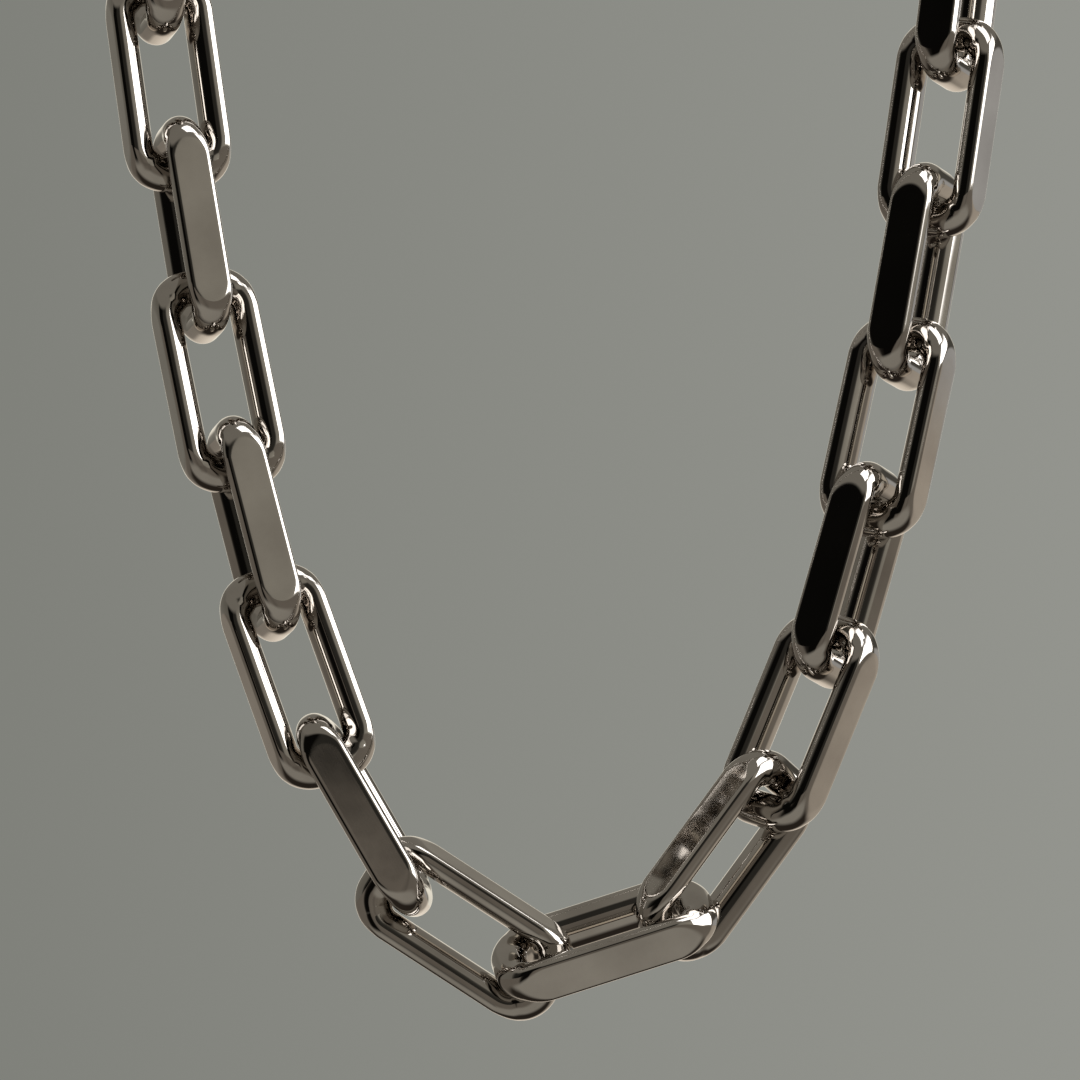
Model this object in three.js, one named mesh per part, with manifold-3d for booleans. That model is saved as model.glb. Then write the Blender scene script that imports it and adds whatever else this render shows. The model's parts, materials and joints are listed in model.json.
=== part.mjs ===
// Chain necklace: polished steel links with flattened sides, hung as it is worn and closed
// by a trigger clasp. Millimetres, +Z up. The chain hangs in the plane Y = 0, seen from -Y,
// and the origin is the middle of the clasp's flat underside, the highest rest of the chain.
import * as THREE from "three";
import { mergeVertices } from "three/addons/utils/BufferGeometryUtils.js";
import Module from "manifold-3d";

// Driving dimensions
const LINK_COUNT = 32;
const LINK_LENGTH = 20.2; // over both round ends
const LINK_WIDTH = 9.2; // over the two flattened sides
const WIRE = 3.15; // diameter of the wire at a link's ends
const WIRE_SIDES = 12;
const SIDE_THICKNESS = 3.9; // of a flattened side, across the link's plane
const SIDE_DEPTH = 2.35; // of a flattened side, from the opening to the flat
const CORNER_RADIUS = 2.2; // of the centre-line's eight bends
const END_BAR = 1.2; // half of the straight stretch across a link's end
const CLEARANCE = 0.15; // daylight between two pieces that hang in each other
const CLASP_CLEARANCE = 0.55; // the same between a ring's curve and the clasp's edges

const RING_RADIUS = 3.9; // of a connecting ring's centre-line
const RING_WIRE = 1.5;

const CLASP_THICKNESS = 3.4;
const CLASP_BEVEL = 0.5;
const REST_X = -4.6; // the point of the clasp's underside that is the origin
const CLASP_TAIL_X = -9.6; // centre of the tail's eye
const CLASP_TAIL_RADIUS = 2.5;
const CLASP_EYE_RADIUS = 1.5;
const CLASP_LUG_THICKNESS = 2.2; // of the tail round its eye
const CLASP_LUG_END_X = -6.5;
const CLASP_LOOP_START_X = 2.8; // the hook's loop is a slot with round ends
const CLASP_LOOP_END_X = 5.6;
const CLASP_LOOP_RADIUS = 2.6;
const CLASP_NOSE_RADIUS = 4.4;
const MOUTH_BACK_X = 0.6; // the hook is open from here to its tip
const MOUTH_FLOOR_Y = 1;
const MOUTH_LOW = -0.05; // angle about the pin, in radians, at which the hook's tip ends
const SLOT_BACK_X = -4.6; // the slot that the trigger turns in
const SLOT_FLOOR_Y = -1.2;
const SLOT_WIDTH = 2.0;

const PIN_X = -2.4;
const PIN_Y = 1.9;
const PIN_RADIUS = 0.5;
const PIN_FIT = 0.05; // room round the pin in the body, and twice that in the trigger
const TRIGGER_THICKNESS = 1.6;
const TRIGGER_REACH = 7.3; // from the pin's axis to the trigger's tip
const TIP_GAP = 0.3; // from the trigger's tip to the hook's tip
const HUB_RADIUS = 1.35; // of the trigger round its pin
const KNOB_X = -1.4; // the thumb knob stands this much above the clasp's back
const KNOB_RISE = 1.2;
const KNOB_RADIUS = 0.7;
const SPRING_X = -1.0;
const SPRING_FOOT_Y = -1.0;
const SPRING_HEIGHT = 1.35;
const SPRING_RADIUS = 0.5;
const SPRING_WIRE = 0.28;
const SPRING_TURNS = 3;

// How the chain hangs
const SAG = 1.042; // rise of the slope's tangent from one link to the next
const LOWEST = 16.665; // the link number at which the curve is level
const STIFFNESS = 0.1; // how much less the thick links turn at the bottom than a cord would
const FACE_ROLL = -14; // degrees that a left face-on link is turned about its own length
const TWISTED_FROM = 14; // the number of the last link before the chain's twist
const TWISTS = [20, 14, 13, 12, 13, 4, 2]; // degrees short of a quarter turn, contact by contact
const STRAIGHT_PULL = 0.5; // share of the straight line in the way that two links bear
const FORM_RADII = [30, 47]; // between these lies the radius of the form near the clasp

const STEEL = { color: 0x8d8780, roughness: 0.14, metalness: 1 };
const SPRING_STEEL = { color: 0x77736d, roughness: 0.3, metalness: 1 };

const DEGREE = Math.PI / 180;
const wasm = await Module();
wasm.setup();

// Solids

function solidOf(geometry) {
  const bare = geometry.clone();
  bare.deleteAttribute("normal");
  bare.deleteAttribute("uv");
  const merged = mergeVertices(bare, 1e-4);
  return new wasm.Manifold(
    new wasm.Mesh({
      numProp: 3,
      vertProperties: merged.attributes.position.array,
      triVerts: new Uint32Array(merged.index.array),
    }),
  );
}

function geometryOf(solid) {
  const mesh = solid.getMesh();
  const geometry = new THREE.BufferGeometry();
  geometry.setAttribute("position", new THREE.BufferAttribute(mesh.vertProperties, 3));
  geometry.setIndex(new THREE.BufferAttribute(mesh.triVerts, 1));
  geometry.computeVertexNormals();
  return geometry;
}

function box(width, height, depth, x = 0, y = 0, z = 0) {
  return solidOf(new THREE.BoxGeometry(width, height, depth).translate(x, y, z));
}

// A flat plate centred on Z = 0, with its edges bevelled inwards.
function plate(shape, thickness, bevel = 0) {
  const options = {
    depth: thickness - 2 * bevel,
    bevelEnabled: bevel > 0,
    bevelThickness: bevel,
    bevelSize: bevel,
    bevelOffset: -bevel,
    bevelSegments: 1,
    curveSegments: 8,
  };
  const lift = bevel - thickness / 2;
  return solidOf(new THREE.ExtrudeGeometry(shape, options).translate(0, 0, lift));
}

function namedMesh(name, geometry, finish = STEEL) {
  const mesh = new THREE.Mesh(geometry, new THREE.MeshStandardMaterial(finish));
  mesh.name = name;
  return mesh;
}

// Links

const FLAT_DEPTH = SIDE_DEPTH - WIRE / 2; // from the wire's centre-line to the flat
const HALF_WIDTH = LINK_WIDTH / 2 - FLAT_DEPTH; // of the centre-line
const HALF_LENGTH = (LINK_LENGTH - WIRE) / 2; // of the centre-line

// Rings of the wire in order round the link. Each of the eight bends turns 45 degrees,
// and heading is the direction that the wire's outer side faces.
function linkRings() {
  const sideX = HALF_WIDTH - CORNER_RADIUS;
  const sideY = END_BAR + HALF_LENGTH - HALF_WIDTH;
  const endY = HALF_LENGTH - CORNER_RADIUS;
  const rings = [];
  for (let bend = 0; bend < 8; bend += 1) {
    const beside = bend % 4 === 0 || bend % 4 === 3;
    const right = bend < 2 || bend > 5;
    const centreX = (beside ? sideX : END_BAR) * (right ? 1 : -1);
    const centreY = (beside ? sideY : endY) * (bend < 4 ? 1 : -1);
    for (const heading of [45 * bend * DEGREE, 45 * (bend + 1) * DEGREE]) {
      const outX = Math.cos(heading);
      const outY = Math.sin(heading);
      rings.push({
        x: centreX + CORNER_RADIUS * outX,
        y: centreY + CORNER_RADIUS * outY,
        outX,
        outY,
        halfThickness: (WIRE + (SIDE_THICKNESS - WIRE) * outX * outX) / 2,
      });
    }
  }
  return rings;
}

// A torus whose rings are moved onto the link's rings. Its long sides are pressed flat: no
// point lies outside the link's width, and a twelfth of a turn puts a corner on each edge.
function linkGeometry() {
  const rings = linkRings();
  const geometry = new THREE.TorusGeometry(1, 0.5, WIRE_SIDES, rings.length);
  const { position, uv } = geometry.attributes;
  for (let i = 0; i < position.count; i += 1) {
    const ring = rings[Math.round(uv.getX(i) * rings.length) % rings.length];
    const round = 2 * Math.PI * uv.getY(i);
    const out = (WIRE / 2) * Math.cos(round);
    const x = THREE.MathUtils.clamp(ring.x + ring.outX * out, -LINK_WIDTH / 2, LINK_WIDTH / 2);
    position.setXYZ(i, x, ring.y + ring.outY * out, ring.halfThickness * Math.sin(round));
  }
  geometry.computeVertexNormals();
  return geometry;
}

// Clasp, drawn in its own XY plane with its tail at -X and its nose at +X

function circle(x, y, radius) {
  return new THREE.Shape().absarc(x, y, radius, 0, 2 * Math.PI);
}

function claspOutline() {
  const lean = Math.asin(
    (CLASP_NOSE_RADIUS - CLASP_TAIL_RADIUS) / (CLASP_LOOP_START_X - CLASP_TAIL_X),
  );
  const upper = Math.PI / 2 + lean;
  return new THREE.Shape()
    .absarc(CLASP_TAIL_X, 0, CLASP_TAIL_RADIUS, upper, 2 * Math.PI - upper)
    .absarc(CLASP_LOOP_START_X, 0, CLASP_NOSE_RADIUS, 2 * Math.PI - upper, 1.5 * Math.PI)
    .absarc(CLASP_LOOP_END_X, 0, CLASP_NOSE_RADIUS, -Math.PI / 2, Math.PI / 2)
    .absarc(CLASP_LOOP_START_X, 0, CLASP_NOSE_RADIUS, Math.PI / 2, upper);
}

function loopOutline() {
  return new THREE.Shape()
    .absarc(CLASP_LOOP_START_X, 0, CLASP_LOOP_RADIUS, Math.PI / 2, 1.5 * Math.PI)
    .absarc(CLASP_LOOP_END_X, 0, CLASP_LOOP_RADIUS, -Math.PI / 2, Math.PI / 2);
}

// The mouth ends on an arc about the pin, so the trigger's tip sweeps past the hook's tip.
function mouthOutline() {
  const reach = TRIGGER_REACH + TIP_GAP;
  const outside = 2 * CLASP_NOSE_RADIUS;
  return new THREE.Shape()
    .moveTo(MOUTH_BACK_X, MOUTH_FLOOR_Y)
    .lineTo(PIN_X + reach * Math.cos(MOUTH_LOW), PIN_Y + reach * Math.sin(MOUTH_LOW))
    .absarc(PIN_X, PIN_Y, reach, MOUTH_LOW, Math.PI / 6)
    .lineTo(MOUTH_BACK_X, outside);
}

function slotOutline() {
  const outside = 2 * CLASP_NOSE_RADIUS;
  return new THREE.Shape()
    .moveTo(SLOT_BACK_X, SLOT_FLOOR_Y)
    .lineTo(CLASP_LOOP_START_X, SLOT_FLOOR_Y)
    .lineTo(CLASP_LOOP_START_X, outside)
    .lineTo(SLOT_BACK_X, outside);
}

function claspBody() {
  const waste = (CLASP_THICKNESS - CLASP_LUG_THICKNESS) / 2;
  const wasteZ = (CLASP_LUG_THICKNESS + waste) / 2;
  const wasteLength = 4 * CLASP_TAIL_RADIUS;
  const wasteX = CLASP_LUG_END_X - wasteLength / 2;
  const outline = claspOutline();
  outline.holes.push(loopOutline());
  const solid = plate(outline, CLASP_THICKNESS, CLASP_BEVEL)
    .subtract(plate(circle(CLASP_TAIL_X, 0, CLASP_EYE_RADIUS), 2 * CLASP_THICKNESS))
    .subtract(plate(mouthOutline(), 2 * CLASP_THICKNESS))
    .subtract(plate(slotOutline(), SLOT_WIDTH))
    .subtract(plate(circle(PIN_X, PIN_Y, PIN_RADIUS + PIN_FIT), 2 * CLASP_THICKNESS))
    .subtract(box(wasteLength, wasteLength, waste, wasteX, 0, wasteZ))
    .subtract(box(wasteLength, wasteLength, waste, wasteX, 0, -wasteZ));
  return geometryOf(solid);
}

function triggerOutline() {
  const innerY = CLASP_LOOP_RADIUS;
  const outerY = CLASP_NOSE_RADIUS;
  const knobY = outerY + KNOB_RISE;
  const heelX = PIN_X + 1.5 * HUB_RADIUS;
  const low = Math.asin((innerY - PIN_Y) / TRIGGER_REACH);
  const high = Math.asin((outerY - PIN_Y) / TRIGGER_REACH);
  return new THREE.Shape()
    .absarc(PIN_X, PIN_Y, HUB_RADIUS, 0.75 * Math.PI, 1.75 * Math.PI)
    .lineTo(heelX, PIN_Y - 0.8 * HUB_RADIUS)
    .quadraticCurveTo(heelX + HUB_RADIUS, innerY, heelX + 2 * HUB_RADIUS, innerY)
    .absarc(PIN_X, PIN_Y, TRIGGER_REACH, low, high)
    .lineTo(heelX + HUB_RADIUS, outerY)
    .quadraticCurveTo(heelX, outerY, KNOB_X + KNOB_RADIUS, knobY)
    .absarc(KNOB_X, knobY, KNOB_RADIUS, 0, Math.PI);
}

function claspTrigger() {
  const hole = plate(circle(PIN_X, PIN_Y, PIN_RADIUS + 2 * PIN_FIT), 2 * TRIGGER_THICKNESS);
  return geometryOf(plate(triggerOutline(), TRIGGER_THICKNESS).subtract(hole));
}

function triggerPin() {
  const pin = new THREE.CylinderGeometry(PIN_RADIUS, PIN_RADIUS, CLASP_THICKNESS, 16);
  return pin.rotateX(Math.PI / 2).translate(PIN_X, PIN_Y, 0);
}

// A coil that stands on the slot's floor and pushes the trigger shut.
function triggerSpring() {
  const steps = 8 * SPRING_TURNS;
  const points = [];
  for (let step = 0; step <= steps; step += 1) {
    const angle = (step / 8) * 2 * Math.PI;
    const x = SPRING_X + SPRING_RADIUS * Math.cos(angle);
    const y = SPRING_FOOT_Y + (step / steps) * SPRING_HEIGHT;
    points.push(new THREE.Vector3(x, y, SPRING_RADIUS * Math.sin(angle)));
  }
  const extrudePath = new THREE.CatmullRomCurve3(points);
  const section = circle(0, 0, SPRING_WIRE / 2);
  return new THREE.ExtrudeGeometry(section, { steps, curveSegments: 3, extrudePath });
}

// Hanging

const LINK_SPAN = LINK_LENGTH - WIRE; // between the centres of the two end bars
const LINK_PITCH = LINK_SPAN - WIRE - CLEARANCE;
const RING_PITCH = 2 * RING_RADIUS - RING_WIRE - CLEARANCE;
const EYE_WALL = CLASP_TAIL_RADIUS - CLASP_EYE_RADIUS;
const NOSE_WALL = CLASP_NOSE_RADIUS - CLASP_LOOP_RADIUS;
const TAIL_BAR_X = CLASP_TAIL_X - CLASP_TAIL_RADIUS + EYE_WALL / 2;
const NOSE_BAR_X = CLASP_LOOP_END_X + CLASP_NOSE_RADIUS - NOSE_WALL / 2;
const CLASP_SPAN = NOSE_BAR_X - TAIL_BAR_X;
const STRAND_LENGTH = 2 * RING_PITCH + LINK_COUNT * LINK_PITCH;
const OFF_CENTRE = (LOWEST - (LINK_COUNT + 1) / 2) * LINK_PITCH; // of the clasp from the top

const sum = (numbers) => numbers.reduce((total, number) => total + number, 0);

// The pieces in order from the clasp's tail, down the left strand and up the right one.
function chainPieces() {
  const ring = { span: 2 * RING_RADIUS, wire: RING_WIRE, roll: 0 };
  const first = { number: 0, middle: RING_PITCH / 2, clearance: CLASP_CLEARANCE };
  const pieces = [{ ...ring, ...first, name: "tail_ring" }];
  for (let number = 1; number <= LINK_COUNT; number += 1) {
    const contact = number - TWISTED_FROM;
    const twisted = sum(TWISTS.slice(0, Math.max(0, contact)));
    pieces.push({
      name: `link_${String(number).padStart(2, "0")}`,
      number,
      middle: RING_PITCH + (number - 0.5) * LINK_PITCH,
      span: LINK_SPAN,
      wire: WIRE,
      roll: FACE_ROLL - 90 * contact + twisted,
      clearance: CLEARANCE,
    });
  }
  const middle = STRAND_LENGTH - RING_PITCH / 2;
  const last = { number: LINK_COUNT + 1, middle, clearance: CLEARANCE };
  pieces.push({ ...ring, ...last, name: "end_ring" });
  return pieces;
}

// A piece's direction of travel, as an angle from +X in the XZ plane. Free links follow a
// catenary, and near the clasp the chain bends round a form of the given radius.
function travelOf(piece, radius) {
  const along = piece.number - LOWEST;
  const hanging = Math.atan(SAG * along * (1 - STIFFNESS * Math.exp(-along * along)));
  const fromTop = (CLASP_SPAN / 2 + piece.middle - OFF_CENTRE) / radius;
  const toTop = (CLASP_SPAN / 2 + STRAND_LENGTH - piece.middle + OFF_CENTRE) / radius;
  return THREE.MathUtils.clamp(hanging, Math.PI - toTop, fromTop - Math.PI);
}

// A loop's own X is its width, Y its length and Z its thickness. At no roll its width
// points into the necklace, and at a quarter turn towards -Y.
function axesOf(travel, roll) {
  const length = new THREE.Vector3(Math.cos(travel), 0, Math.sin(travel));
  const width = new THREE.Vector3(-Math.sin(travel), 0, Math.cos(travel));
  width.multiplyScalar(Math.cos(roll * DEGREE)).setY(-Math.sin(roll * DEGREE));
  return { width, length, normal: width.clone().cross(length) };
}

// Each piece's first bar lies inside the last bar of the piece before: square across it,
// but drawn a little towards the straight line from one piece to the other.
function hang(radius) {
  let before = { ...axesOf(-Math.PI, 90), wire: EYE_WALL, end: new THREE.Vector3() };
  const enter = (piece) => {
    const straight = before.length.clone().add(piece.length).normalize();
    const pull = before.width.clone().cross(piece.width).normalize();
    pull.multiplyScalar(Math.sign(pull.dot(straight)));
    pull.addScaledVector(straight, STRAIGHT_PULL).normalize();
    const reach = (before.wire + piece.wire) / 2 + piece.clearance;
    return before.end.clone().addScaledVector(pull, -reach);
  };
  const placed = [];
  for (const piece of chainPieces()) {
    const next = { ...piece, ...axesOf(travelOf(piece, radius), piece.roll) };
    const start = enter(next);
    const end = start.clone().addScaledVector(next.length, next.span);
    before = { ...next, start, end };
    placed.push(before);
  }
  const nose = { ...axesOf(Math.PI, 90), wire: NOSE_WALL, clearance: CLASP_CLEARANCE };
  return { placed, noseBar: enter(nose) };
}

// The form's radius at which the two ends of the chain come exactly a clasp apart.
function closingRadius() {
  let [low, high] = FORM_RADII;
  for (let step = 0; step < 60; step += 1) {
    const radius = (low + high) / 2;
    const { x, z } = hang(radius).noseBar;
    if (Math.hypot(x, z) > CLASP_SPAN) low = radius;
    else high = radius;
  }
  return (low + high) / 2;
}

function claspGroup() {
  const group = new THREE.Group();
  group.add(
    namedMesh("clasp_body", claspBody()),
    namedMesh("clasp_trigger", claspTrigger()),
    namedMesh("trigger_pin", triggerPin()),
    namedMesh("trigger_spring", triggerSpring(), SPRING_STEEL),
  );
  return group;
}

// The few tenths that the twist moves the chain's end along Y are shared out by all pieces.
function chainGroup({ placed, noseBar }) {
  const link = linkGeometry();
  const ring = new THREE.TorusGeometry(RING_RADIUS, RING_WIRE / 2, 8, 20);
  const group = new THREE.Group();
  placed.forEach((piece, index) => {
    const mesh = namedMesh(piece.name, piece.wire === WIRE ? link : ring);
    mesh.position.addVectors(piece.start, piece.end).divideScalar(2);
    mesh.position.y -= (noseBar.y * (index + 1)) / (placed.length + 1);
    const turned = new THREE.Matrix4().makeBasis(piece.width, piece.length, piece.normal);
    mesh.quaternion.setFromRotationMatrix(turned);
    group.add(mesh);
  });
  return group;
}

function necklace() {
  const hung = hang(closingRadius());
  const clasp = claspGroup();
  clasp.rotation.y = -Math.atan2(hung.noseBar.z, hung.noseBar.x);
  clasp.position.set(-REST_X, 0, CLASP_THICKNESS / 2).applyEuler(clasp.rotation);
  clasp.updateMatrix();
  const chain = chainGroup(hung);
  chain.position.set(TAIL_BAR_X, 0, 0).applyMatrix4(clasp.matrix);
  const whole = new THREE.Group();
  whole.add(clasp, chain);
  return whole;
}

export default necklace();
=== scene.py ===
import json
import math

import bmesh
import bpy
import numpy as np
from mathutils import Matrix, Vector


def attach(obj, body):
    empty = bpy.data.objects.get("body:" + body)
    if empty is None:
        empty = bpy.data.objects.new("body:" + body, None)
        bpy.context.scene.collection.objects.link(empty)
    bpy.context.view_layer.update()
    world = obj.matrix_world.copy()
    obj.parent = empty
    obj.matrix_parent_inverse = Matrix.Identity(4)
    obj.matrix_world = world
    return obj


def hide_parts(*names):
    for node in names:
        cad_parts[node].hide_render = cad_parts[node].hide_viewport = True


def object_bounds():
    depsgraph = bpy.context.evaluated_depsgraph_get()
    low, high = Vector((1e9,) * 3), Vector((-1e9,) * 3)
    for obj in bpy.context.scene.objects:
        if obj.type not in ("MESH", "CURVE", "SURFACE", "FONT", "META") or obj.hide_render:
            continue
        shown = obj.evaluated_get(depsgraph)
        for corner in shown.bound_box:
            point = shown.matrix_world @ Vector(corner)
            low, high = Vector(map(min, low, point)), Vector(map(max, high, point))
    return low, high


# The chain necklace's looks. Lengths are in millimetres until they meet Blender, which
# works in metres. The necklace hangs in the plane Y = 0 and is seen from -Y.

MM = 0.001

# The link's wire, and the flat pressed on its long sides
WIRE = 3.15
SIDE_DEPTH = 2.35  # from the opening to the flat
FLAT_EDGE = 0.32  # how far the flat's edge is rounded over
FLAT_FADE = 0.9  # more than that where the flat runs out in a bend
CORNER_RADIUS = 2.2  # of the centre-line's eight bends
END_BAR = 1.2  # half of the straight stretch across an end
BEND_STEPS = 13
SECTION_STEPS = 56
STRAIGHT_STEP = 0.7  # between stations on a straight run

# The rings between chain and clasp
RING_RADIUS = 3.9
RING_WIRE = 1.5
RING_CUT = 0.05  # the hairline where a ring's two ends meet

# The clasp, in its own plane with its tail at -X
CLASP_THICKNESS = 3.4
CLASP_ROUNDING = 0.5
REST_X = -4.6
TAIL_X = -9.6
TAIL_RADIUS = 2.5
EYE_RADIUS = 1.5
LUG_THICKNESS = 2.2
LUG_END_X = -6.5
LOOP_START_X = 2.8
LOOP_END_X = 5.6
LOOP_RADIUS = 2.6
NOSE_RADIUS = 4.4
MOUTH_BACK_X = 0.6
MOUTH_FLOOR_Y = 1.0
MOUTH_LOW = -0.05
SLOT_BACK_X = -4.6
SLOT_FLOOR_Y = -1.2
SLOT_WIDTH = 2.0
PIN_X = -2.4
PIN_Y = 1.9
PIN_RADIUS = 0.5
PIN_FIT = 0.05  # room round the pin in the body, and twice that in the trigger
TRIGGER_THICKNESS = 1.6
TRIGGER_ROUNDING = 0.15
HOLE_DEPTH = 4  # of the cutter through the trigger
TRIGGER_REACH = 7.3
TIP_GAP = 0.3
HUB_RADIUS = 1.35
KNOB_X = -1.4
KNOB_RISE = 1.2
KNOB_RADIUS = 0.7
SPRING_X = -1.0
SPRING_FOOT_Y = -1.0
SPRING_HEIGHT = 1.35
SPRING_RADIUS = 0.5
SPRING_WIRE = 0.28
SPRING_TURNS = 3
SHARP = math.radians(32)
CUT_EDGE = 0.1  # width of the rounding on edges that are cut
CUT_EDGE_ANGLE = math.radians(50)

# The camera looks up at the bend of the chain from a little below it
CAMERA_DISTANCE = 0.6
CAMERA_ELEVATION = math.radians(-8)
FRAME_WIDTH = 0.0956  # of the view, at the chain
VIEW_X = -0.0005  # of the view's centre
VIEW_ABOVE_LOWEST = 0.0425
SENSOR = 36

# The floor, and the finishes
FLOOR_HALF = 3.0
FLOOR_DROP = 0.12  # below the lowest link
FLOOR_COLOUR = (0.55, 0.55, 0.53)
FLOOR_ROUGHNESS = 0.7
STEEL = {"dark": (0.50, 0.47, 0.44), "light": (0.60, 0.57, 0.535), "gloss": 0.04,
         "wave": 0.03}
SPRING_STEEL = {"dark": (0.40, 0.38, 0.36), "light": (0.5, 0.48, 0.45), "gloss": 0.25,
                "wave": 0.05}

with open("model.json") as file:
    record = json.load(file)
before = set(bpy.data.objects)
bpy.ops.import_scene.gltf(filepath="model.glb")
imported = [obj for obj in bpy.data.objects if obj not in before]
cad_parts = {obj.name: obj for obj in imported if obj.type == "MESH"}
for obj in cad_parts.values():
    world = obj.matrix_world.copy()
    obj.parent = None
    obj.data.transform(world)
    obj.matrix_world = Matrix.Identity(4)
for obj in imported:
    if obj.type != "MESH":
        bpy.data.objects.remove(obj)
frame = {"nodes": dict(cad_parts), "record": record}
nodes = frame["nodes"]
cad_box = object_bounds()


# ---------------------------------------------------------------- places from the frame

def axes_of(node):
    """A node's own frame, from its corners: X its middle, Y its longest and Z its shortest side."""
    corners = np.unique(np.round([v.co[:] for v in nodes[node].data.vertices], 7), axis=0)
    middle = corners.mean(0)
    _, directions = np.linalg.eigh(np.cov((corners - middle).T))
    thin, wide, long = (Vector(directions[:, i]) for i in range(3))
    wide = long.cross(thin)
    placed = Matrix((wide, long, thin)).transposed().to_4x4()
    placed.translation = Vector(middle)
    return placed


def extent(node, placed):
    """The node's size along its own X, Y and Z, in millimetres."""
    inside = placed.inverted()
    corners = np.array([(inside @ v.co)[:] for v in nodes[node].data.vertices])
    return (corners.max(0) - corners.min(0)) / MM


def clasp_place():
    """The clasp's own frame, from the mount on its flat underside, which is the origin."""
    rest = next(m for m in frame["record"]["mounts"] if m["name"] == "nape_rest")
    up = -Vector(rest["axis"])
    along = Vector((0, 1, 0)).cross(up).normalized()
    placed = Matrix((along, up.cross(along), up)).transposed().to_4x4()
    low = Vector((REST_X, 0, -CLASP_THICKNESS / 2)) * MM
    placed.translation = Vector(rest["pos_m"]) - placed.to_3x3() @ low
    return placed


# ---------------------------------------------------------------- meshes

def mesh_of(name, vertices, faces):
    mesh = bpy.data.meshes.new(name)
    mesh.from_pydata([tuple(v) for v in vertices], [], faces)
    mesh.polygons.foreach_set("use_smooth", [True] * len(mesh.polygons))
    mesh.update()
    return mesh


def tube_faces(rings, sides, closed):
    """Quads between successive rings of a tube, with flat fans at its ends if it is open."""
    faces = []
    for i in range(rings if closed else rings - 1):
        here, there = i * sides, ((i + 1) % rings) * sides
        for j in range(sides):
            k = (j + 1) % sides
            faces.append((here + j, there + j, there + k, here + k))
    if not closed:
        faces.append(tuple(range(sides)))
        faces.append(tuple(reversed(range((rings - 1) * sides, rings * sides))))
    return faces


def soft_least(value, limit, blend):
    """The lesser of two numbers, rounded where they meet."""
    near = np.maximum(blend - np.abs(value - limit), 0) / blend
    return np.minimum(value, limit) - near * near * blend / 4


def link_stations(half_width, half_length):
    """The link's centre-line: (x, y, heading) round eight bends, with straight runs between."""
    side_x = half_width - CORNER_RADIUS
    side_y = END_BAR + half_length - half_width
    end_y = half_length - CORNER_RADIUS
    arcs = []
    for bend in range(8):
        beside = bend % 4 in (0, 3)
        x = (side_x if beside else END_BAR) * (1 if bend < 2 or bend > 5 else -1)
        y = (side_y if beside else end_y) * (1 if bend < 4 else -1)
        headings = np.radians(45) * (bend + np.linspace(0, 1, BEND_STEPS))
        arcs.append([(x + CORNER_RADIUS * math.cos(h), y + CORNER_RADIUS * math.sin(h), h)
                     for h in headings])
    stations = []
    for arc, following in zip(arcs, arcs[1:] + arcs[:1]):
        stations += arc
        (x0, y0, heading), (x1, y1, _) = arc[-1], following[0]
        steps = max(2, round(math.hypot(x1 - x0, y1 - y0) / STRAIGHT_STEP))
        for step in range(1, steps):
            share = step / steps
            stations.append((x0 + (x1 - x0) * share, y0 + (y1 - y0) * share, heading))
    return stations


def link_mesh(size):
    """One link of the given width, length and thickness: round wire with two sides pressed flat."""
    width, length, thickness = size
    half_length = (length - WIRE) / 2
    flat_depth = SIDE_DEPTH - WIRE / 2
    stations = link_stations(width / 2 - flat_depth, half_length)
    around = np.linspace(0, 2 * np.pi, SECTION_STEPS, endpoint=False)
    vertices = []
    for x, y, heading in stations:
        out_x, out_y = math.cos(heading), math.sin(heading)
        half = (WIRE + (thickness - WIRE) * out_x ** 2) / 2
        out = WIRE / 2 * np.cos(around)
        across_x = x + out_x * out
        edge = FLAT_EDGE + FLAT_FADE * abs(out_y)
        pressed = soft_least(np.abs(across_x), width / 2, edge)
        ring = np.stack([np.sign(across_x) * pressed, y + out_y * out,
                         half * np.sin(around)], axis=1)
        vertices.append(ring * MM)
    faces = tube_faces(len(stations), SECTION_STEPS, closed=True)
    return mesh_of("link", np.concatenate(vertices), faces)


def ring_mesh():
    """A connecting ring of round wire, with the hairline cut where it was closed."""
    gap = RING_CUT / RING_RADIUS
    turns = np.linspace(gap / 2, 2 * np.pi - gap / 2, 120)
    around = np.linspace(0, 2 * np.pi, 32, endpoint=False)
    vertices = []
    for turn in turns:
        reach = RING_RADIUS + RING_WIRE / 2 * np.cos(around)
        ring = np.stack([reach * math.cos(turn), reach * math.sin(turn),
                         RING_WIRE / 2 * np.sin(around)], axis=1)
        vertices.append(ring * MM)
    faces = tube_faces(len(turns), len(around), closed=False)
    return mesh_of("ring", np.concatenate(vertices), faces)


def spring_mesh():
    """The coil under the trigger, standing on the slot's floor."""
    steps = 24 * SPRING_TURNS
    around = np.linspace(0, 2 * np.pi, 12, endpoint=False)
    vertices = []
    for step in range(steps + 1):
        turn = 2 * math.pi * SPRING_TURNS * step / steps
        reach = SPRING_RADIUS + SPRING_WIRE / 2 * np.cos(around)
        y = SPRING_FOOT_Y + SPRING_HEIGHT * step / steps + SPRING_WIRE / 2 * np.sin(around)
        ring = np.stack([SPRING_X + reach * math.cos(turn), y, -reach * math.sin(turn)], axis=1)
        vertices.append(ring * MM)
    return mesh_of("spring", np.concatenate(vertices), tube_faces(steps + 1, 12, closed=False))


def arc(x, y, radius, start, end):
    """Points along an arc, at about 5 degrees a step, in millimetres."""
    steps = max(2, round(abs(end - start) / math.radians(5)))
    return [(x + radius * math.cos(start + (end - start) * i / steps),
             y + radius * math.sin(start + (end - start) * i / steps)) for i in range(steps + 1)]


def curve_to(start, control, end, steps=8):
    """Points along a quadratic curve, without its first."""
    points = []
    for i in range(1, steps + 1):
        t = i / steps
        points.append(tuple((1 - t) ** 2 * a + 2 * t * (1 - t) * b + t * t * c
                            for a, b, c in zip(start, control, end)))
    return points


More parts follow.
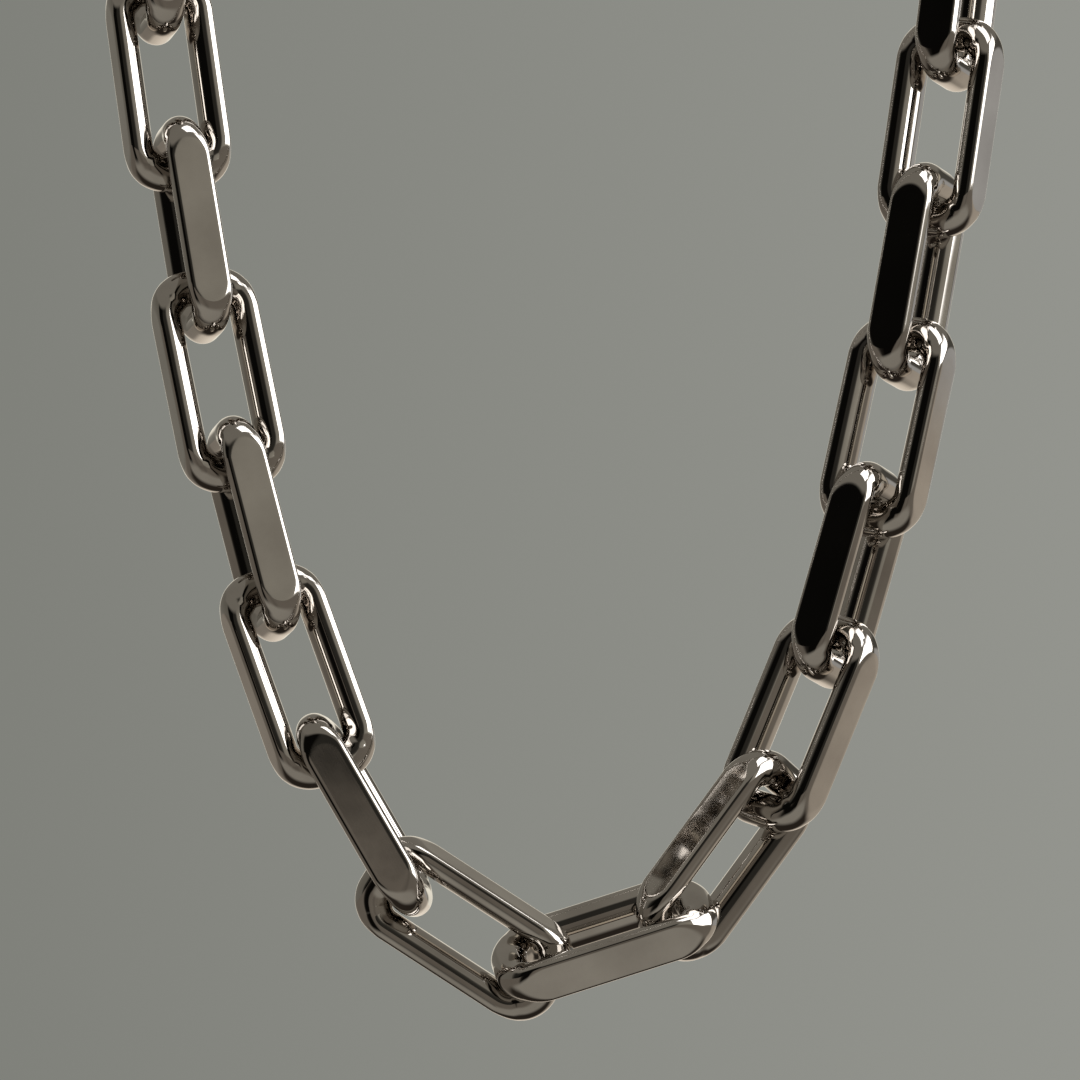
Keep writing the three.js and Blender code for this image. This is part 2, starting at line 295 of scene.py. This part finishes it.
def plate_object(name, outlines, thickness, rounding=0.0):
    """A flat plate centred on Z = 0 with rounded edges; outlines after the first are holes."""
    curve = bpy.data.curves.new(name, "CURVE")
    curve.dimensions = "2D"
    curve.fill_mode = "BOTH"
    for outline in outlines:
        spline = curve.splines.new("POLY")
        spline.points.add(len(outline) - 1)
        for point, (x, y) in zip(spline.points, outline):
            point.co = (x * MM, y * MM, 0, 1)
        spline.use_cyclic_u = True
    curve.extrude = (thickness / 2 - rounding) * MM
    if rounding:
        curve.bevel_depth = rounding * MM
        curve.bevel_resolution = 4
        curve.offset = -rounding * MM
    drawn = bpy.data.objects.new(name, curve)
    bpy.context.scene.collection.objects.link(drawn)
    bpy.context.view_layer.update()
    mesh = bpy.data.meshes.new_from_object(drawn)
    bpy.data.objects.remove(drawn)
    work = bmesh.new()
    work.from_mesh(mesh)
    bmesh.ops.remove_doubles(work, verts=work.verts, dist=1e-7)
    bmesh.ops.recalc_face_normals(work, faces=work.faces)
    work.to_mesh(mesh)
    work.free()
    made = bpy.data.objects.new(name, mesh)
    bpy.context.scene.collection.objects.link(made)
    return made


def box_object(name, low, high):
    mesh = bpy.data.meshes.new(name)
    work = bmesh.new()
    bmesh.ops.create_cube(work, size=1)
    for v in work.verts:
        v.co = Vector([(a + b) / 2 + (b - a) * c for a, b, c in zip(low, high, v.co)]) * MM
    work.to_mesh(mesh)
    work.free()
    made = bpy.data.objects.new(name, mesh)
    bpy.context.scene.collection.objects.link(made)
    return made


def applied(made):
    """The object's mesh with its modifiers applied."""
    bpy.context.view_layer.update()
    shown = made.evaluated_get(bpy.context.evaluated_depsgraph_get())
    mesh = bpy.data.meshes.new_from_object(shown)
    bpy.data.objects.remove(made)
    mesh.polygons.foreach_set("use_smooth", [True] * len(mesh.polygons))
    mesh.set_sharp_from_angle(angle=SHARP)
    return mesh


def cut_mesh(solid, cutters):
    """The solid's mesh less each cutter."""
    for cutter in cutters:
        cut = solid.modifiers.new("cut", "BOOLEAN")
        cut.operation = "DIFFERENCE"
        cut.solver = "EXACT"
        cut.object = cutter
    edge = solid.modifiers.new("edge", "BEVEL")
    edge.limit_method = "ANGLE"
    edge.angle_limit = CUT_EDGE_ANGLE
    edge.width = CUT_EDGE * MM
    edge.segments = 2
    mesh = applied(solid)
    for cutter in cutters:
        bpy.data.objects.remove(cutter)
    return mesh


def full_circle(x, y, radius):
    return arc(x, y, radius, 0, 2 * math.pi)[:-1]


def clasp_mesh():
    """The clasp's cast body: tail with eye, cheeks, loop and hook's nose."""
    lean = math.asin((NOSE_RADIUS - TAIL_RADIUS) / (LOOP_START_X - TAIL_X))
    upper = math.pi / 2 + lean
    outline = (arc(TAIL_X, 0, TAIL_RADIUS, upper, 2 * math.pi - upper)
               + arc(LOOP_START_X, 0, NOSE_RADIUS, 2 * math.pi - upper, 1.5 * math.pi)
               + arc(LOOP_END_X, 0, NOSE_RADIUS, -math.pi / 2, math.pi / 2)
               + arc(LOOP_START_X, 0, NOSE_RADIUS, math.pi / 2, upper))
    loop = (arc(LOOP_START_X, 0, LOOP_RADIUS, math.pi / 2, 1.5 * math.pi)
            + arc(LOOP_END_X, 0, LOOP_RADIUS, -math.pi / 2, math.pi / 2))
    reach = TRIGGER_REACH + TIP_GAP
    outside = 2 * NOSE_RADIUS
    mouth = ([(MOUTH_BACK_X, MOUTH_FLOOR_Y)]
             + arc(PIN_X, PIN_Y, reach, MOUTH_LOW, math.pi / 6)
             + [(MOUTH_BACK_X, outside)])
    slot = [(SLOT_BACK_X, SLOT_FLOOR_Y), (LOOP_START_X, SLOT_FLOOR_Y),
            (LOOP_START_X, outside), (SLOT_BACK_X, outside)]
    body = plate_object("clasp", [outline, loop], CLASP_THICKNESS, CLASP_ROUNDING)
    through = 2 * CLASP_THICKNESS
    cutters = [
        plate_object("eye", [full_circle(TAIL_X, 0, EYE_RADIUS)], through),
        plate_object("mouth", [mouth], through),
        plate_object("slot", [slot], SLOT_WIDTH),
        plate_object("bore", [full_circle(PIN_X, PIN_Y, PIN_RADIUS + PIN_FIT)], through),
    ]
    far = 4 * TAIL_RADIUS
    for low, high in ((LUG_THICKNESS / 2, through), (-through, -LUG_THICKNESS / 2)):
        cutters.append(box_object("waste", (LUG_END_X - far, -far, low), (LUG_END_X, far, high)))
    return cut_mesh(body, cutters)


def trigger_mesh():
    """The lever that closes the hook's mouth, with its hub and thumb knob."""
    inner, outer = LOOP_RADIUS, NOSE_RADIUS
    knob_y = outer + KNOB_RISE
    heel_x = PIN_X + 1.5 * HUB_RADIUS
    heel = (heel_x, PIN_Y - 0.8 * HUB_RADIUS)
    low = math.asin((inner - PIN_Y) / TRIGGER_REACH)
    high = math.asin((outer - PIN_Y) / TRIGGER_REACH)
    back = (heel_x + HUB_RADIUS, outer)
    outline = (arc(PIN_X, PIN_Y, HUB_RADIUS, 0.75 * math.pi, 1.75 * math.pi)
               + [heel]
               + curve_to(heel, (heel_x + HUB_RADIUS, inner), (heel_x + 2 * HUB_RADIUS, inner))
               + arc(PIN_X, PIN_Y, TRIGGER_REACH, low, high)
               + [back]
               + curve_to(back, (heel_x, outer), (KNOB_X + KNOB_RADIUS, knob_y))
               + arc(KNOB_X, knob_y, KNOB_RADIUS, 0, math.pi))
    plate = plate_object("trigger", [outline], TRIGGER_THICKNESS, TRIGGER_ROUNDING)
    hole = plate_object("hole", [full_circle(PIN_X, PIN_Y, PIN_RADIUS + 2 * PIN_FIT)],
                        HOLE_DEPTH)
    return cut_mesh(plate, [hole])


def pin_mesh():
    """The trigger's pin, with a low domed rivet head at each end."""
    half = CLASP_THICKNESS / 2
    profile = [(0.0, half + 0.1), (0.25, half + 0.08), (0.42, half + 0.02), (0.5, half - 0.08)]
    profile += [(radius, -z) for radius, z in reversed(profile)]
    vertices = []
    for radius, z in profile:
        around = np.linspace(0, 2 * np.pi, 32, endpoint=False)
        reach = max(radius, 0.01)
        ring = np.stack([PIN_X + reach * np.cos(around), PIN_Y + reach * np.sin(around),
                         np.full(32, z)], axis=1)
        vertices.append(ring * MM)
    faces = tube_faces(len(profile), 32, closed=False)
    return mesh_of("pin", np.concatenate(vertices), faces)


# ---------------------------------------------------------------- materials

def nodes_of(material):
    material.use_nodes = True
    tree = material.node_tree
    return tree, tree.nodes["Principled BSDF"]


def noise(tree, place, scale, detail, roughness=0.55):
    made = tree.nodes.new("ShaderNodeTexNoise")
    made.inputs["Scale"].default_value = scale
    made.inputs["Detail"].default_value = detail
    made.inputs["Roughness"].default_value = roughness
    tree.links.new(place, made.inputs["Vector"])
    return made.outputs["Fac"]


def ranged(tree, value, low_in, high_in, low_out, high_out):
    made = tree.nodes.new("ShaderNodeMapRange")
    numbers = (low_in, high_in, low_out, high_out)
    for name, number in zip(("From Min", "From Max", "To Min", "To Max"), numbers):
        made.inputs[name].default_value = number
    tree.links.new(value, made.inputs["Value"])
    return made.outputs["Result"]


def stretched(tree, place, scale):
    made = tree.nodes.new("ShaderNodeMapping")
    made.inputs["Scale"].default_value = scale
    tree.links.new(place, made.inputs["Vector"])
    return made.outputs["Vector"]


def steel_material(name, dark, light, gloss, wave):
    """Polished steel: faint tarnish, fingerprints, hairline scratches and a hand-polished wave."""
    material = bpy.data.materials.new(name)
    tree, shader = nodes_of(material)
    shader.inputs["Metallic"].default_value = 1.0
    place = tree.nodes.new("ShaderNodeTexCoord").outputs["Object"]
    tarnish = noise(tree, place, 160, 4)
    colour = tree.nodes.new("ShaderNodeValToRGB")
    colour.color_ramp.elements[0].position = 0.36
    colour.color_ramp.elements[0].color = (*dark, 1)
    colour.color_ramp.elements[1].position = 0.66
    colour.color_ramp.elements[1].color = (*light, 1)
    tree.links.new(tarnish, colour.inputs["Fac"])
    tree.links.new(colour.outputs["Color"], shader.inputs["Base Color"])
    smudges = noise(tree, place, 420, 5, 0.6)
    rough = ranged(tree, smudges, 0.45, 0.72, gloss, gloss + 0.05)
    tree.links.new(rough, shader.inputs["Roughness"])
    hairlines = noise(tree, stretched(tree, place, (1.0, 0.07, 1.0)), 9000, 3, 0.7)
    scratch = tree.nodes.new("ShaderNodeBump")
    scratch.inputs["Strength"].default_value = 0.015
    scratch.inputs["Distance"].default_value = 0.00002
    tree.links.new(hairlines, scratch.inputs["Height"])
    undulation = noise(tree, place, 240, 1)
    waves = tree.nodes.new("ShaderNodeBump")
    waves.inputs["Strength"].default_value = wave
    waves.inputs["Distance"].default_value = 0.0002
    tree.links.new(undulation, waves.inputs["Height"])
    tree.links.new(scratch.outputs["Normal"], waves.inputs["Normal"])
    tree.links.new(waves.outputs["Normal"], shader.inputs["Normal"])
    return material


def plain_material(name, colour, roughness):
    material = bpy.data.materials.new(name)
    tree, shader = nodes_of(material)
    shader.inputs["Roughness"].default_value = roughness
    place = tree.nodes.new("ShaderNodeTexCoord").outputs["Object"]
    tint = tree.nodes.new("ShaderNodeMix")
    tint.data_type = "RGBA"
    tint.inputs["A"].default_value = (*[c * 0.97 for c in colour], 1)
    tint.inputs["B"].default_value = (*[c * 1.03 for c in colour], 1)
    tree.links.new(noise(tree, place, 3, 2), tint.inputs["Factor"])
    tree.links.new(tint.outputs["Result"], shader.inputs["Base Color"])
    return material


# ---------------------------------------------------------------- pieces

def add_piece(name, mesh, material, placed, body, node):
    mesh.materials.clear()
    mesh.materials.append(material)
    piece = bpy.data.objects.new(name, mesh)
    bpy.context.scene.collection.objects.link(piece)
    piece.matrix_world = placed
    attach(piece, body)
    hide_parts(node)
    return piece


def chain(steel):
    """Every link and ring, each where its CAD node is."""
    links = sorted(name for name in nodes if name.startswith("link_"))
    first = axes_of(links[0])
    mesh = link_mesh(extent(links[0], first))
    for name in links:
        add_piece(name.replace("_", "-"), mesh, steel, axes_of(name), name, name)
    ring = ring_mesh()
    for name in ("tail_ring", "end_ring"):
        add_piece(name.replace("_", "-"), ring, steel, axes_of(name), name, name)


def clasp(steel, spring_steel):
    placed = clasp_place()
    add_piece("clasp-body", clasp_mesh(), steel, placed, "clasp", "clasp_body")
    add_piece("clasp-trigger", trigger_mesh(), steel, placed, "trigger", "clasp_trigger")
    add_piece("trigger-pin", pin_mesh(), steel, placed, "clasp", "trigger_pin")
    add_piece("trigger-spring", spring_mesh(), spring_steel, placed, "clasp", "trigger_spring")


# ---------------------------------------------------------------- surroundings

# What the polished steel mirrors: brightness by direction round the necklace, in degrees
# from the camera's side towards +X, above the horizon and below it.
ABOVE_HORIZON = (
    (-180, 0.95), (-163, 0.85), (-157, 0.26), (-150, 0.19), (-134, 0.19), (-82, 0.17),
    (-74, 0.03), (-66, 0.004), (-20, 0.004), (-14, 0.03), (4, 0.03), (12, 0.06), (18, 0.28),
    (44, 0.38), (108, 0.34), (113, 0.10), (150, 0.08), (155, 0.28), (162, 0.48), (168, 0.90),
    (180, 0.95),
)
BELOW_HORIZON = (
    (-180, 0.90), (-163, 0.70), (-156, 0.30), (-134, 0.17), (-64, 0.17), (-56, 0.02),
    (-48, 0.004), (-28, 0.004), (-22, 0.16), (-4, 0.18), (10, 0.14), (20, 0.18), (108, 0.20),
    (114, 0.38), (120, 0.48), (154, 0.50), (162, 0.80), (180, 0.90),
)
HORIZON = (-0.014, 0.010)  # heights between which the lower surroundings turn into the upper
# Lit patches: azimuth and half width in degrees, strength, and the heights between which the
# lower edge and the upper edge fade.
WINDOW = {"azimuth": 76, "half": 31, "strength": 4.2, "sill": (0.02, 0.09), "top": (0.64, 0.80)}
LOW_WALL = {"azimuth": 134, "half": 18, "strength": 0.36, "sill": (-0.01, 0.01),
            "top": (0.14, 0.24)}
TABLE_HEIGHTS = (-0.40, -0.70)
TABLE_NEAR = (0.325, 0.305, 0.265)  # below the camera's side
TABLE_FAR = (0.030, 0.024, 0.019)
CEILING_HEIGHTS = (0.42, 0.58)
CEILING = (0.23, 0.215, 0.185)
WARM = (1.0, 0.94, 0.80)
WARM_BELOW = (1.0, 0.885, 0.74)
# Painted light: the backdrop that the camera sees is a plain colour, painted lighter towards the
# right as if lit from that side.
BACKGROUND = (0.216, 0.220, 0.198)
BACKDROP_PAINTED_LIT_RIGHT = (0.292, 0.296, 0.270)
BACKGROUND_TURN = (-0.078, 0.078)  # share of a ray's direction that is to the right


def math_node(tree, operation, *values):
    made = tree.nodes.new("ShaderNodeMath")
    made.operation = operation
    for socket, value in zip(made.inputs, values):
        if isinstance(value, (int, float)):
            socket.default_value = value
        else:
            tree.links.new(value, socket)
    return made.outputs[0]


def smooth_step(tree, value, low, high, low_out=0.0, high_out=1.0):
    made = tree.nodes.new("ShaderNodeMapRange")
    made.interpolation_type = "SMOOTHSTEP"
    numbers = (low, high, low_out, high_out)
    for name, number in zip(("From Min", "From Max", "To Min", "To Max"), numbers):
        made.inputs[name].default_value = number
    tree.links.new(value, made.inputs["Value"])
    return made.outputs["Result"]


def mixed(tree, share, one, other, blend="MIX"):
    """Two colours, each a plain one or a socket, mixed by a share."""
    made = tree.nodes.new("ShaderNodeMix")
    made.data_type = "RGBA"
    made.blend_type = blend
    made.clamp_result = False
    for socket, value in (("Factor", share), ("A", one), ("B", other)):
        if isinstance(value, tuple):
            made.inputs[socket].default_value = (*value, 1)
        elif isinstance(value, (int, float)):
            made.inputs[socket].default_value = value
        else:
            tree.links.new(value, made.inputs[socket])
    return made.outputs["Result"]


def round_about(tree, turn, levels, tint):
    """The surroundings' colour for a share of the whole turn."""
    ramp = tree.nodes.new("ShaderNodeValToRGB")
    stops = ramp.color_ramp.elements
    while len(stops) < len(levels):
        stops.new(0.5)
    for stop, (degrees, level) in zip(stops, levels):
        stop.position = (degrees + 180) / 360
        stop.color = (*[level * part for part in tint], 1)
    tree.links.new(turn, ramp.inputs["Fac"])
    return ramp.outputs["Color"]


def lit_patch(tree, azimuth, height, patch):
    away = math_node(tree, "ABSOLUTE", math_node(
        tree, "SUBTRACT", azimuth, math.radians(patch["azimuth"])))
    inner = math.radians(patch["half"] - 1)
    outer = math.radians(patch["half"] + 1)
    across = smooth_step(tree, away, inner, outer, patch["strength"], 0)
    over_sill = smooth_step(tree, height, *patch["sill"])
    under_top = smooth_step(tree, height, *patch["top"], 1, 0)
    light = math_node(tree, "MULTIPLY", across, math_node(tree, "MULTIPLY", over_sill, under_top))
    grey = tree.nodes.new("ShaderNodeCombineColor")
    for socket in grey.inputs:
        tree.links.new(light, socket)
    return grey.outputs["Color"]


def surroundings():
    """A studio: dark to the left, grey to the right, a tall window, a pale table below."""
    world = bpy.data.worlds.new("studio")
    bpy.context.scene.world = world
    world.use_nodes = True
    tree = world.node_tree
    tree.nodes.clear()
    direction = tree.nodes.new("ShaderNodeTexCoord").outputs["Generated"]
    parts = tree.nodes.new("ShaderNodeSeparateXYZ")
    tree.links.new(direction, parts.inputs[0])
    towards = math_node(tree, "MULTIPLY", parts.outputs["Y"], -1.0)
    height = parts.outputs["Z"]
    azimuth = math_node(tree, "ARCTAN2", parts.outputs["X"], towards)
    turn = ranged(tree, azimuth, -math.pi, math.pi, 0, 1)
    walls = mixed(tree, smooth_step(tree, height, *HORIZON),
                  round_about(tree, turn, BELOW_HORIZON, WARM_BELOW),
                  round_about(tree, turn, ABOVE_HORIZON, WARM))
    table = mixed(tree, smooth_step(tree, towards, -0.2, 0.25), TABLE_FAR, TABLE_NEAR)
    with_table = mixed(tree, smooth_step(tree, height, *TABLE_HEIGHTS), walls, table)
    with_ceiling = mixed(tree, smooth_step(tree, height, *CEILING_HEIGHTS), with_table,
                         CEILING)
    lit = with_ceiling
    for patch in (WINDOW, LOW_WALL):
        lit = mixed(tree, 1.0, lit, lit_patch(tree, azimuth, height, patch), "ADD")
    mirrored = tree.nodes.new("ShaderNodeBackground")
    tree.links.new(lit, mirrored.inputs["Color"])
    # Painted light: the backdrop seen by the camera, painted lighter towards the right.
    seen = tree.nodes.new("ShaderNodeBackground")
    painted_light_share = ranged(tree, parts.outputs["X"], *BACKGROUND_TURN, 0, 1)
    tree.links.new(mixed(tree, painted_light_share, BACKGROUND, BACKDROP_PAINTED_LIT_RIGHT), seen.inputs["Color"])
    path = tree.nodes.new("ShaderNodeLightPath")
    either = tree.nodes.new("ShaderNodeMixShader")
    tree.links.new(path.outputs["Is Camera Ray"], either.inputs["Fac"])
    tree.links.new(mirrored.outputs["Background"], either.inputs[1])
    tree.links.new(seen.outputs["Background"], either.inputs[2])
    output = tree.nodes.new("ShaderNodeOutputWorld")
    tree.links.new(either.outputs["Shader"], output.inputs["Surface"])


def floor():
    mesh = bpy.data.meshes.new("floor")
    half = FLOOR_HALF
    height = cad_box[0][2] - FLOOR_DROP
    mesh.from_pydata([(-half, -half, height), (half, -half, height), (half, half, height),
                      (-half, half, height)], [], [(0, 1, 2, 3)])
    mesh.materials.append(plain_material("pale floor", FLOOR_COLOUR, FLOOR_ROUGHNESS))
    plane = bpy.data.objects.new("floor", mesh)
    plane.visible_glossy = False  # the steel mirrors the studio's table instead
    bpy.context.scene.collection.objects.link(plane)


def softbox(name, place, aim, width, height, power):
    light = bpy.data.lights.new(name, "AREA")
    light.shape = "RECTANGLE"
    light.size = width
    light.size_y = height
    light.energy = power
    made = bpy.data.objects.new(name, light)
    made.location = place
    made.rotation_euler = (Vector(aim) - Vector(place)).to_track_quat("-Z", "Y").to_euler()
    bpy.context.scene.collection.objects.link(made)


def camera():
    low, _ = cad_box
    target = Vector((VIEW_X, 0, low[2] + VIEW_ABOVE_LOWEST))
    back = Vector((0, -math.cos(CAMERA_ELEVATION), math.sin(CAMERA_ELEVATION)))
    right = Vector((1, 0, 0))
    data = bpy.data.cameras.new("camera")
    data.sensor_width = SENSOR
    data.lens = SENSOR * CAMERA_DISTANCE / FRAME_WIDTH
    data.clip_start = 0.01
    made = bpy.data.objects.new("camera", data)
    turned = Matrix((right, back.cross(right), back)).transposed().to_4x4()
    turned.translation = target + back * CAMERA_DISTANCE
    made.matrix_world = turned
    bpy.context.scene.collection.objects.link(made)
    bpy.context.scene.camera = made


camera()
surroundings()
floor()
softbox("overhead", (0.3, -0.3, 0.9), (0, 0, -0.1), 0.6, 0.6, 3)
steel = steel_material("polished steel", **STEEL)
spring_steel = steel_material("spring steel", **SPRING_STEEL)
chain(steel)
clasp(steel, spring_steel)
bpy.context.scene.view_settings.view_transform = "Standard"
